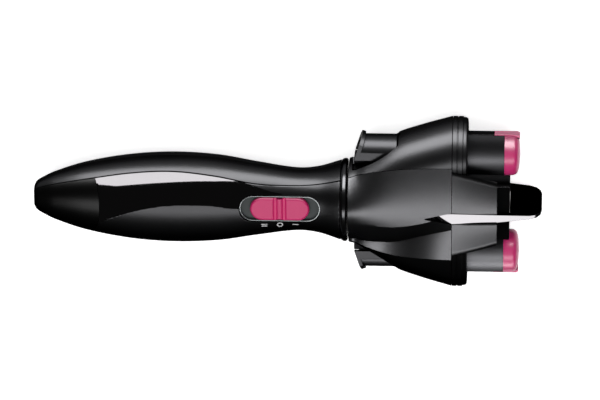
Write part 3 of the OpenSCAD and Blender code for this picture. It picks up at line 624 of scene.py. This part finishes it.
@dataclass
class Grip:
    """Cheeks, front plate with its glossy leaf, tail panel, back, battery cover and neck collar."""

    wall: float = 2.8
    plate_wall: float = 1.5
    start: float = -6.0
    seam_bulge: float = 2.5
    seam_open: float = 0.04
    panel_edge: float = 0.34
    leaf_edge: float = 0.12
    leaf_from: float = 30.0
    leaf_to: float = 142.0
    leaf_steps: int = 56
    cover_middle: float = 73.5
    cover_length: float = 55.0
    cover_width: float = 29.0
    slot_length: float = 46.1
    slot_width: float = 15.5
    shell_edge: float = 0.25
    shell_faces: int = 130
    groove_count: int = 5
    groove_from: float = 22.0
    groove_step: float = 2.6
    groove_lift: float = 1.1
    groove_length: float = 14.0
    groove_radius: float = 1.7

    def build(self) -> None:
        """Builds and dresses every piece of the grip."""
        self.cheeks()
        self.front_plate()
        self.tail_panel()
        self.rear_shell()
        self.collar()

    @staticmethod
    def skin(name: str, ends: tuple[Line, Line], edges: tuple[Line, Line], along: int, around: int) -> Piece:
        """A stretch of the grip's skin.

        Args:
            name: The piece's name.
            ends: Its rear and front end, each over the share round the section.
            edges: The angles where it ends and starts, each over the place along the grip.
            along: Faces along it.
            around: Faces round it.

        Returns:
            The open skin with its faces outwards.
        """

        def rule(u: Array, v: Array) -> Points:
            """Takes a share along and round to the grip's skin."""
            x = ends[0](v) + (ends[1](v) - ends[0](v)) * u
            return grip_skin(x, edges[0](x) + (edges[1](x) - edges[0](x)) * v)

        return Bench.grid(name, along, around, rule)

    def bow(self, v: Array) -> Array:
        """Bowed seam between the tail panel and the front plate, over the share across them."""
        return SIZES.tail_seam + self.seam_bulge * (1 - (2 * v - 1) ** 2)

    def cheeks(self) -> None:
        """Two long satin cheeks, with an open seam to the front plate and the tail panel."""
        ends = (at_all(self.start), at_all(SIZES.grip_end))

        def edge(x: Array) -> Array:
            """Angle of the upper cheek's edge, just short of the seam."""
            return seam_angle(x) - self.seam_open

        for name, edges in (("upper_cheek", (edge, at_all(0))),
                            ("lower_cheek", (at_all(math.pi), lambda x: math.pi - edge(x)))):
            cheek = self.skin(name, ends, edges, self.shell_faces, 20)
            Bench.thicken(cheek, self.wall, self.shell_edge)
            Bench.finish(cheek, "grip", SHELL, ["front_shell"])

    def front_plate(self) -> None:
        """Satin front plate with a glossy leaf let into it, both open for the switch."""
        for name, finish, inset, edge, operation in (
                ("front_panel", SHELL, -0.06, self.panel_edge, "DIFFERENCE"),
                ("gloss_leaf", PIANO, 0.06, self.leaf_edge, "INTERSECT")):
            piece = self.skin(name, (self.bow, at_all(SIZES.grip_end)), PLATE_EDGES, 150, 50)
            Bench.thicken(piece, self.plate_wall)
            Bench.cut(piece, self.leaf_tool(inset), operation)
            Bench.cut(piece, Bench.lozenge("slot_tool", self.slot_length, self.slot_width, 8, Bench.far,
                                           SIZES.switch_at))
            Bench.soften(piece, edge)
            Bench.finish(piece, "grip", finish, ["grip_inlay"])

    def leaf_tool(self, inset: float) -> Piece:
        """Upright solid of the leaf's outline, with its long edges taken in by the inset."""
        x = np.linspace(self.leaf_from, self.leaf_to, self.leaf_steps)
        low = LEAF_LOW.at(x, 1) + inset
        top = np.where(x < LEAF_TOP.rows[0][0], Bench.far, LEAF_TOP.at(x, 1) - inset)
        outline = list(zip(x, low)) + list(zip(x[::-1], top[::-1]))
        return Bench.plate("leaf_tool", outline, 4, Bench.far)

    def tail_panel(self) -> None:
        """Bare dark panel between the front plate and the tail's end."""
        piece = self.skin("bare_tail_panel", (at_all(self.start), lambda v: self.bow(v) - SIZES.gap),
                          PLATE_EDGES, 50, 40)
        Bench.thicken(piece, self.plate_wall, 0.15)
        Bench.finish(piece, "grip", TAIL, ["tail_panel"])

    def rear_shell(self) -> None:
        """Back of the grip with the battery cover let into it."""
        for name, body, nodes, inset, operation in (
                ("grip_back", "grip", ["rear_shell"], 0, "DIFFERENCE"),
                ("cover_plate", "battery_door", ["battery_cover"], 0.3, "INTERSECT")):
            piece = self.skin(name, (at_all(self.start), at_all(SIZES.grip_end)),
                              (at_all(2 * math.pi), at_all(math.pi)), self.shell_faces, 64)
            Bench.thicken(piece, self.wall)
            tool = Bench.lozenge("cover_tool", self.cover_length - inset, self.cover_width - inset, -40, -4,
                                 self.cover_middle)
            Bench.cut(piece, tool, operation)
            if name == "cover_plate":
                self.thumb_grips(piece)
            Bench.soften(piece, self.shell_edge)
            Bench.finish(piece, body, BACK, nodes)

    def thumb_grips(self, piece: Piece) -> None:
        """Cuts a row of shallow finger grooves across the battery cover."""
        for step in range(self.groove_count):
            middle = (self.cover_middle - self.groove_from + self.groove_step * step, 0,
                      -SIZES.axis_height - self.groove_lift)
            Bench.cut(piece, Bench.rod(middle, self.groove_length, self.groove_radius, Axis.Y))

    def collar(self) -> None:
        """Grey ring at the neck with a soft bead."""
        profile = [(SIZES.grip_end + ahead, radius) for ahead, radius in COLLAR_PROFILE]
        piece = Bench.turned("collar_bead", profile)
        Bench.soften(piece, 0.2, 2, 25)
        Bench.finish(piece, "grip", COLLAR, ["neck_collar"])


# ---------- switch ----------


@dataclass
class Switch:
    """Bezel, sliding button and the three marks beside it."""

    length: float = 45.9
    width: float = 15.3
    rim: float = 0.7
    low: float = 12.4
    high: float = 15.9
    floor: float = 13.6
    button_length: float = 33.6
    button_width: float = 13.6
    button_top: float = 17.2
    groove_at: float = 2.5
    mark_length: float = 3.5
    mark_line: float = 0.6
    mark_y: float = -10.4
    mark_step: float = 8.8
    mark_spread: float = 1.1
    recess_inset: float = 1.2
    pad_edge: float = 1.3
    groove_lift: float = 0.5
    groove_radius: float = 1.5
    pinch_out: float = 3.3
    pinch_radius: float = 4.1
    dish_lift: float = 2.6
    dish_radius: float = 3.0

    def build(self) -> None:
        """Builds and dresses the switch."""
        at = SIZES.switch_at
        bezel = Bench.lozenge("bezel_ring", self.length, self.width, self.low, self.high, at)
        Bench.cut(bezel, Bench.lozenge("bezel_tool", self.length - 2 * self.rim, self.width - 2 * self.rim,
                                       self.low - 1, self.high + 1, at))
        Bench.soften(bezel, 0.25)
        Bench.finish(bezel, "grip", BEZEL, ["switch_bezel"])
        # The recess floor takes the darkened bezel grey, as painted shade in the recess.
        floor = Bench.lozenge("recess_floor", self.length - self.recess_inset, self.width - self.recess_inset,
                              self.low, self.floor, at)
        Bench.soften(floor, 0.15)
        Bench.finish(floor, "grip", RECESS_PAINTED_SHADE)
        self.button()
        self.marks()

    def button(self) -> None:
        """Pink button with two domed pads and a pinched ridge between them."""
        at, half = SIZES.switch_at, self.button_width / 2
        piece = Bench.lozenge("pink_button", self.button_length, self.button_width, self.floor + 0.1,
                              self.button_top, at)
        Bench.soften(piece, self.pad_edge, 5)
        for side in (-1, 1):
            groove = (at + side * self.groove_at, 0, self.button_top + self.groove_lift)
            Bench.cut(piece, Bench.rod(groove, Bench.far, self.groove_radius, Axis.Y))
            pinch = (at, side * (half + self.pinch_out), self.button_top)
            Bench.cut(piece, Bench.rod(pinch, 12, self.pinch_radius, Axis.Z))
        dish = (at, 0, self.button_top + self.dish_lift)
        Bench.cut(piece, Bench.rod(dish, Bench.far, self.dish_radius, Axis.Y))
        Bench.soften(piece, 0.22, 2, 35)
        Bench.finish(piece, "switch", BUTTON, ["switch_button"], 25)

    def marks(self) -> None:
        """Marks of the three settings: two bars, a ring and one bar."""
        bar = self.mark_line
        for name, step, lines in (("mark_two", -1, (-1, 1)), ("mark_one", 1, (0,))):
            for line in lines:
                piece = Bench.lozenge(f"{name}_{line + 1}", self.mark_length, bar, -0.4, 0.1, 0)
                piece.data.transform(Matrix.Translation((0, line * self.mark_spread * bar, 0)))
                self.inlaid(piece, step)
        ring = Bench.lozenge("mark_ring", self.mark_length, self.mark_length, -0.6, 0.12, 0)
        inner = self.mark_length - 2 * bar
        Bench.cut(ring, Bench.lozenge("ring_tool", inner, inner, -1, 1, 0))
        self.inlaid(ring, 0)

    def inlaid(self, piece: Piece, step: int) -> None:
        """Lays a mark drawn flat at the origin on the front plate, at its step from -1 to 1."""
        x, y = SIZES.switch_at + step * self.mark_step, self.mark_y

        def skin_height(x: float, y: float) -> float:
            """Height of the grip's skin at one place."""
            wide, high = (float(GRIP.at(np.array([x]), column)[0]) for column in (1, 2))
            return high * (1 - abs(y / wide) ** SQUARENESS) ** (1 / SQUARENESS)

        along = Vector((1, 0, skin_height(x + 0.5, y) - skin_height(x - 0.5, y))).normalized()
        across = Vector((0, 1, skin_height(x, y + 0.5) - skin_height(x, y - 0.5)))
        up = along.cross(across).normalized()
        turn = Matrix((along, up.cross(along), up)).transposed().to_4x4()
        piece.data.transform(Matrix.Translation((x, y, skin_height(x, y))) @ turn)
        Bench.finish(piece, "grip", MARK)


# ---------- head ----------


@dataclass
class Head:
    """Creased covers, cowls, mouth rims, nose covers, nose core and divider fin."""

    cover_wall: float = 2.2
    cowl_wall: float = 4.0
    valley_row: float = 0.25
    crease_row: float = 0.5
    seam_gap: float = 0.35
    tunnel_from: float = 181.4
    tab_end: float = 207.6
    neck_room: float = 11.2
    gear_room_from: float = 230.0
    mouth_radius: float = 20.8
    rim_depth: float = 8.2
    nose_foot: float = 12.0
    nose_round: float = 0.15
    fin_lean: float = math.radians(5)
    fin_tilt: float = math.radians(19)
    slot_reach: float = 8.0
    nose_crease: float = 1.6
    nose_valley: float = -5.8
    nose_flat: float = 0.7
    nose_bend: float = 0.15
    nose_side: float = 0.85
    fin_foot: float = 17.5
    fin_bridge: float = 270.9
    wall_hole: float = 5.8
    wall_radius: float = 20.6
    wall_depth: float = 1.4
    mouth_clear: float = 0.3
    skin_faces: int = 70

    def build(self) -> None:
        """Builds and dresses the head; what lies on its other side is turned half round."""
        # The cowls, mouth rims and nose core take the head pearl darkened as painted shade.
        for piece, name, finish, nodes in (
                (self.cover(), "creased_cover", PEARL, ("core_front_cover", "core_back_cover")),
                (self.cowl(), "side_cowl", PEARL_PAINTED_SHADE, ("upper_cowl", "lower_cowl")),
                (self.rim(), "mouth_rim", PEARL_PAINTED_SHADE, ("upper_rim", "lower_rim")),
                (self.nose_cover(), "nose_plate", PEARL, ("nose_front_cover", "nose_back_cover"))):
            other = Bench.copy(piece, name + "_2")
            Bench.half_turn(other)
            for half, node in zip((piece, other), nodes):
                Bench.finish(half, "head", finish, [node], 18)
        self.end_wall()
        Bench.finish(Bench.of_node("nose_core", 0.5), "head", PEARL_PAINTED_SHADE, ["nose_core"])
        fin = self.fin(0)
        Bench.soften(fin, 0.3, 3, 30)
        Bench.finish(fin, "head", PIANO, ["divider_fin"], 20)

    @staticmethod
    def trimmed(piece: Piece) -> Piece:
        """A moulded shell with its edges broken."""
        Bench.soften(piece, 0.22, 2, 40)
        return piece

    def cover(self) -> Piece:
        """Front cover between the ridges, with a crisp crease that falls to a soft valley."""

        def rule(u: Array, v: Array) -> Points:
            """Takes a share along and across to the cover's skin."""
            x = SIZES.head_start + (SIZES.seam - SIZES.head_start) * u
            ridge = RIDGE.at(x, 1) - SIZES.gap
            valley, crease = VALLEY.at(x, 1), CREASE.at(x, 1)
            a, b = self.valley_row, self.crease_row
            rise = np.clip(v / a, 0, 1)
            fall = np.clip((v - a) / (b - a), 0, 1)
            top = np.clip((v - b) / (1 - b), 0, 1)
            y = -ridge + (valley + ridge) * rise + (crease - valley) * fall + (ridge - crease) * top
            hollow = np.where(v < a, rise, 1 - fall)
            return x, y, head_top(x, y) - VALLEY_DEPTH.at(x, 1) * hollow

        piece = Bench.grid("creased_cover_1", self.skin_faces, 64, rule)
        Bench.thicken(piece, self.cover_wall)
        Bench.cut(piece, self.fin(SIZES.gap))
        return self.trimmed(piece)

    def cowl(self) -> Piece:
        """Cowl round the upper barrel, open at the rear where the barrel comes out."""

        def rule(u: Array, v: Array) -> Points:
            """Takes a share along and round to the cowl's skin."""
            x = SIZES.head_start + (SIZES.seam - SIZES.head_start) * u
            c, r = HEAD.at(x, 1), HEAD.at(x, 2)
            edge = np.arccos(np.clip((RIDGE.at(x, 1) + SIZES.gap - c) / r, -1, 1))
            angle = edge * (1 - 2 * v)
            return x, c + r * np.cos(angle), r * np.sin(angle)

        piece = Bench.grid("side_cowl_1", self.skin_faces, 72, rule)
        Bench.thicken(piece, self.cowl_wall)
        for start, end, radius in ((self.tunnel_from, self.tab_end, SIZES.tunnel_radius),
                                   (self.tab_end - 1, SIZES.seam + 2, self.neck_room),
                                   (self.gear_room_from, SIZES.seam + 2, SIZES.mouth_room)):
            Bench.cut(piece, Bench.rod(((start + end) / 2, SIZES.barrel_offset, 0), end - start, radius))
        return self.trimmed(piece)

    def rim(self) -> Piece:
        """Stepped ring round the upper barrel's mouth."""
        s, r, inner = SIZES.seam + self.seam_gap, self.mouth_radius, SIZES.mouth_room
        outside = [(s + ahead, r - inset) for ahead, inset in RIM_PROFILE]
        piece = Bench.turned("mouth_rim_1", [(s, inner), *outside, (s + self.rim_depth, inner)],
                             SIZES.barrel_offset)
        Bench.soften(piece, 0.12, 2, 25)
        return piece

    def nose_cover(self) -> Piece:
        """Front cover of the nose, cut by both mouths and by the fin."""

        def rule(u: Array, v: Array) -> Points:
            """Takes a share along and across to the nose's skin."""
            x = SIZES.seam + self.seam_gap + (SIZES.nose_end - SIZES.seam - self.seam_gap) * u
            w, corner, crown = NOSE.at(x, 1), NOSE.at(x, 2), NOSE.at(x, 3)
            side, across = np.sign(2 * v - 1), np.abs(2 * v - 1)
            flat = np.clip(across / self.nose_flat, 0, 1)
            bend, drop = (np.clip((across - start) / self.nose_bend, 0, 1)
                          for start in (self.nose_flat, self.nose_side))
            r = self.nose_round * w
            dome = corner + (crown - corner) * np.cos(np.pi / 2 * flat * (1 - self.nose_round))
            turn = np.pi / 2 * bend
            y = side * ((w - r) * flat + r * np.sin(turn))
            z = dome - r * (1 - np.cos(turn)) - (dome - r - self.nose_foot) * drop
            step = np.clip((self.nose_crease - y) / (self.nose_crease - self.nose_valley), 0, 1)
            fade = np.clip((y + w) / (w + self.nose_valley), 0, 1)
            return x, y, z - NOSE_DROP.at(x, 1) * step * fade**0.7

        piece = Bench.grid("nose_plate_1", 36, 100, rule)
        Bench.thicken(piece, self.cover_wall)
        for side in (-1, 1):
            Bench.cut(piece, Bench.rod((SIZES.nose_end, side * SIZES.barrel_offset, 0), 2 * Bench.far,
                                       self.mouth_radius + self.mouth_clear))
        Bench.cut(piece, self.fin(SIZES.gap))
        return self.trimmed(piece)

    def end_wall(self) -> None:
        """Ring that closes the head behind the covers."""
        back, hole, radius = SIZES.head_start + 0.3, self.wall_hole, self.wall_radius
        front = back + self.wall_depth
        piece = Bench.turned("head_end_wall", [(back, hole), (back, radius), (front, radius), (front, hole)])
        Bench.soften(piece, 0.2)
        Bench.finish(piece, "head", INNER)

    def fin(self, grow: float) -> Piece:
        """Leaning divider fin whose long edges tilt more; with some growth it is the tool for its slot."""
        piece = Bench.plate("divider_blade", mirrored(FIN_WIDTH, grow), -Bench.far, Bench.far)
        piece.data.transform(Matrix.Rotation(self.fin_lean, 4, "X"))
        side = Bench.plate("side_tool", mirrored(FIN_REACH, self.slot_reach if grow else 0), -Bench.far,
                           Bench.far)
        side.data.transform(Matrix.Rotation(self.fin_tilt + math.pi / 2, 4, "X"))
        Bench.cut(piece, side, "INTERSECT")
        if not grow:
            Bench.cut(piece, Bench.block((200, -Bench.far, -self.fin_foot),
                                         (self.fin_bridge, Bench.far, self.fin_foot)))
        return piece


# ---------- barrels ----------


class Side(Enum):
    """The two barrels; the lower is the upper turned half round."""

    upper = 0
    lower = 1


@dataclass
class Barrel:
    """One spinning barrel with its pink tip and its hair lever."""

    side: Side
    radius: float = 12.4
    tip_from: float = 267.4
    tip_length: float = 8.95
    tip_seam: float = 0.1
    bar_low: float = 9.6
    bar_half: float = 3.5
    slot_back: float = 2.0
    slot_front: float = 9.0
    slot_high: float = 20.0

    def build(self) -> None:
        """Builds and dresses the barrel."""
        spool, clip = self.side.name + "_spool", self.side.name + "_clip"
        for part, body, finish, edge in (("barrel", spool, DRUM, 0.3), ("lever", clip, LEVER, 0.35),
                                         ("lever_tip", clip, TIP, 0.3)):
            node = f"{self.side.name}_{part}"
            piece = Bench.of_node(node, edge)
            if finish is DRUM:
                Bench.cut(piece, Bench.block((self.tip_from - self.tip_seam, -60, -20), (280, 60, 20)))
            Bench.finish(piece, body, finish, [node])
        self.tip(spool)

    def tip(self, body: str) -> None:
        """Pink tip with a domed end and a slot for the lever's bar."""
        x, y, r = self.tip_from, SIZES.barrel_offset, self.radius
        end = x + self.tip_length
        dome = [(end - back, r - inset) for back, inset in TIP_PROFILE]
        piece = Bench.turned(self.side.name + "_pink_tip", [(x, 0), (x, r), *dome, (end, 0)], y)
        Bench.cut(piece, Bench.block((x - self.slot_back, y + self.bar_low, -self.bar_half),
                                     (x + self.slot_front, y + self.slot_high, self.bar_half)))
        if self.side is Side.lower:
            Bench.half_turn(piece)
        Bench.soften(piece, 0.2, 2, 40)
        Bench.finish(piece, body, TIP, [self.side.name + "_tip"])


# ---------- studio ----------


class Ray(Enum):
    """What a lamp shows in."""

    DIFFUSE = "matt light"
    GLOSS = "highlights"


class Link(Enum):
    """Which pieces a lamp lights."""

    ALONE = "INCLUDE"
    ALL_BUT = "EXCLUDE"


@dataclass(frozen=True)
class SoftBox:
    """One rectangular lamp that faces the object.

    Attributes:
        at: Its place in metres.
        size: Its size along X and its other size, in metres.
        power: Its power in watts.
        link: Whether it lights the named pieces alone, or all but those.
        pieces: Pieces that it is linked to; with none it lights everything.
        roll: Its turn about its own line of sight.
    """

    name: str
    at: Triple
    size: tuple[float, float]
    power: float
    ray: Ray = Ray.GLOSS
    link: Link = Link.ALL_BUT
    pieces: tuple[str, ...] = ()
    roll: float = 0.0

    def hang(self) -> None:
        """Puts the lamp up and links it to its pieces."""
        data = bpy.data.lights.new(self.name, "AREA")
        data.shape = "RECTANGLE"
        data.size, data.size_y, data.energy = (*self.size, self.power)
        lamp = bpy.data.objects.new(self.name, data)
        turn = (-Vector(self.at)).to_track_quat("-Z", "Y").to_matrix().to_4x4()
        lamp.matrix_world = Matrix.Translation(self.at) @ turn @ Matrix.Rotation(self.roll, 4, "Z")
        lamp.visible_diffuse = self.ray is Ray.DIFFUSE
        lamp.visible_glossy = self.ray is Ray.GLOSS
        bpy.context.scene.collection.objects.link(lamp)
        if self.pieces:
            linked = bpy.data.collections.new(self.name + "_link")
            for name in self.pieces:
                linked.objects.link(bpy.data.objects[name])
            for entry in linked.collection_objects:
                entry.light_linking.link_state = self.link.value
            lamp.light_linking.receiver_collection = linked


LOWER_BARREL = tuple("lower_" + name for name in (
    "barrel_form", "lever_form", "lever_tip_form", "pink_tip", "gear", "bushes", "pin", "spring"))
BOXES = (
    SoftBox("top_lamp", (0.0, 0.0, 1.2), (1.6, 1.2), 15.0, Ray.DIFFUSE),
    SoftBox("side_box", (0.0, 1.0, 0.38), (1.6, 0.72), 110.0, pieces=(
        "gloss_leaf", "divider_blade", "upper_barrel_form", "nose_plate_1")),
    SoftBox("front_box", (0.0, -0.37, 1.03), (1.6, 0.3), 23.0, pieces=(
        "gloss_leaf", "divider_blade", "side_cowl_2", "mouth_rim_2", "nose_core_form")),
    SoftBox("leaf_box", (0.0, 0.93, 0.53), (1.6, 0.6), 68.0, link=Link.ALONE, pieces=("gloss_leaf",),
            roll=math.radians(30)),
    SoftBox("low_box", (0.0, -0.8, 0.45), (1.4, 0.2), 24.0, link=Link.ALONE,
            pieces=("divider_blade", *LOWER_BARREL)),
)


@dataclass
class Studio:
    """Camera, floor, surroundings and lamps."""

    distance: float = 2.7
    tilt: float = math.radians(22)
    yaw: float = math.radians(3)
    roll: float = math.radians(-0.31)
    frame_width: float = 341.3
    sensor: float = 36.0
    target: Triple = (151.45, -0.8, 0.0)
    floor_size: float = 8.0
    floor_drop: float = 0.0002
    floor_glow: float = 0.75
    world_glow: float = 0.1

    def build(self) -> None:
        """Sets the camera, the floor and the surroundings up."""
        bpy.context.scene.view_settings.view_transform = "Standard"
        self.camera()
        self.floor()
        self.world()

    @staticmethod
    def light() -> None:
        """Hangs the lamps, once their pieces are there."""
        for box in BOXES:
            box.hang()

    def camera(self) -> None:
        """Camera at the photograph's viewing angle."""
        toward = Vector((math.sin(self.yaw), math.sin(self.tilt) * math.cos(self.yaw),
                         math.cos(self.tilt) * math.cos(self.yaw)))
        right = Vector((0, 1, 0)).cross(toward).normalized()
        up = toward.cross(right)
        turn = Matrix((right, up, toward)).transposed().to_4x4() @ Matrix.Rotation(self.roll, 4, "Z")
        at = TO_FRAME @ Vector(self.target)
        data = bpy.data.cameras.new("camera")
        data.sensor_width = self.sensor
        data.lens = self.sensor * self.distance / (self.frame_width * MM)
        camera = bpy.data.objects.new("camera", data)
        camera.matrix_world = Matrix.Translation(at + toward * self.distance) @ turn
        bpy.context.scene.collection.objects.link(camera)
        bpy.context.scene.camera = camera

    def floor(self) -> None:
        """Large white paper floor, which keeps a soft shadow and shows as white in gloss."""
        Bench.take()
        bpy.ops.mesh.primitive_plane_add(size=self.floor_size, location=(0, 0, -self.floor_drop))
        floor = Bench.named("floor")
        made = bpy.data.materials.new("floor_paper")
        made.use_nodes = True
        tree = made.node_tree
        shader = tree.nodes["Principled BSDF"]
        set_values(shader, {"Base Color": (0.9, 0.9, 0.9, 1), "Roughness": 0.9,
                            "Specular IOR Level": 0.0, "Emission Color": (1, 1, 1, 1)})
        path = tree.nodes.new("ShaderNodeLightPath")
        seen = path.outputs["Is Camera Ray"]
        for kind in ("Is Glossy Ray", "Is Transmission Ray"):
            either = tree.nodes.new("ShaderNodeMath")
            either.operation = "MAXIMUM"
            tree.links.new(seen, either.inputs[0])
            tree.links.new(path.outputs[kind], either.inputs[1])
            seen = either.outputs["Value"]
        glow = tree.nodes.new("ShaderNodeMath")
        glow.operation = "MULTIPLY"
        glow.inputs[1].default_value = self.floor_glow
        tree.links.new(seen, glow.inputs[0])
        tree.links.new(glow.outputs["Value"], shader.inputs["Emission Strength"])
        floor.data.materials.append(made)

    def world(self) -> None:
        """Even pale surroundings."""
        world = bpy.data.worlds.new("studio")
        world.use_nodes = True
        set_values(world.node_tree.nodes["Background"], {"Color": (1, 1, 1, 1), "Strength": self.world_glow})
        bpy.context.scene.world = world


def dress_rest() -> None:
    """Gives every CAD node that is still shown the finish of its slot."""
    by_slot = {finish.slot: finish for finish in FINISHES}
    for part in frame["record"]["subparts"]:
        node = frame["nodes"][part["node"]]
        node.data.materials.clear()
        node.data.materials.append(by_slot[part["material_slot"]].material())


def main() -> None:
    """Builds the studio and every sub-assembly."""
    logging.basicConfig(level=logging.INFO, format="%(message)s")
    studio = Studio()
    studio.build()
    Grip().build()
    Switch().build()
    Head().build()
    for side in Side:
        Barrel(side).build()
    studio.light()
    dress_rest()


if __name__ == "__main__":
    main()
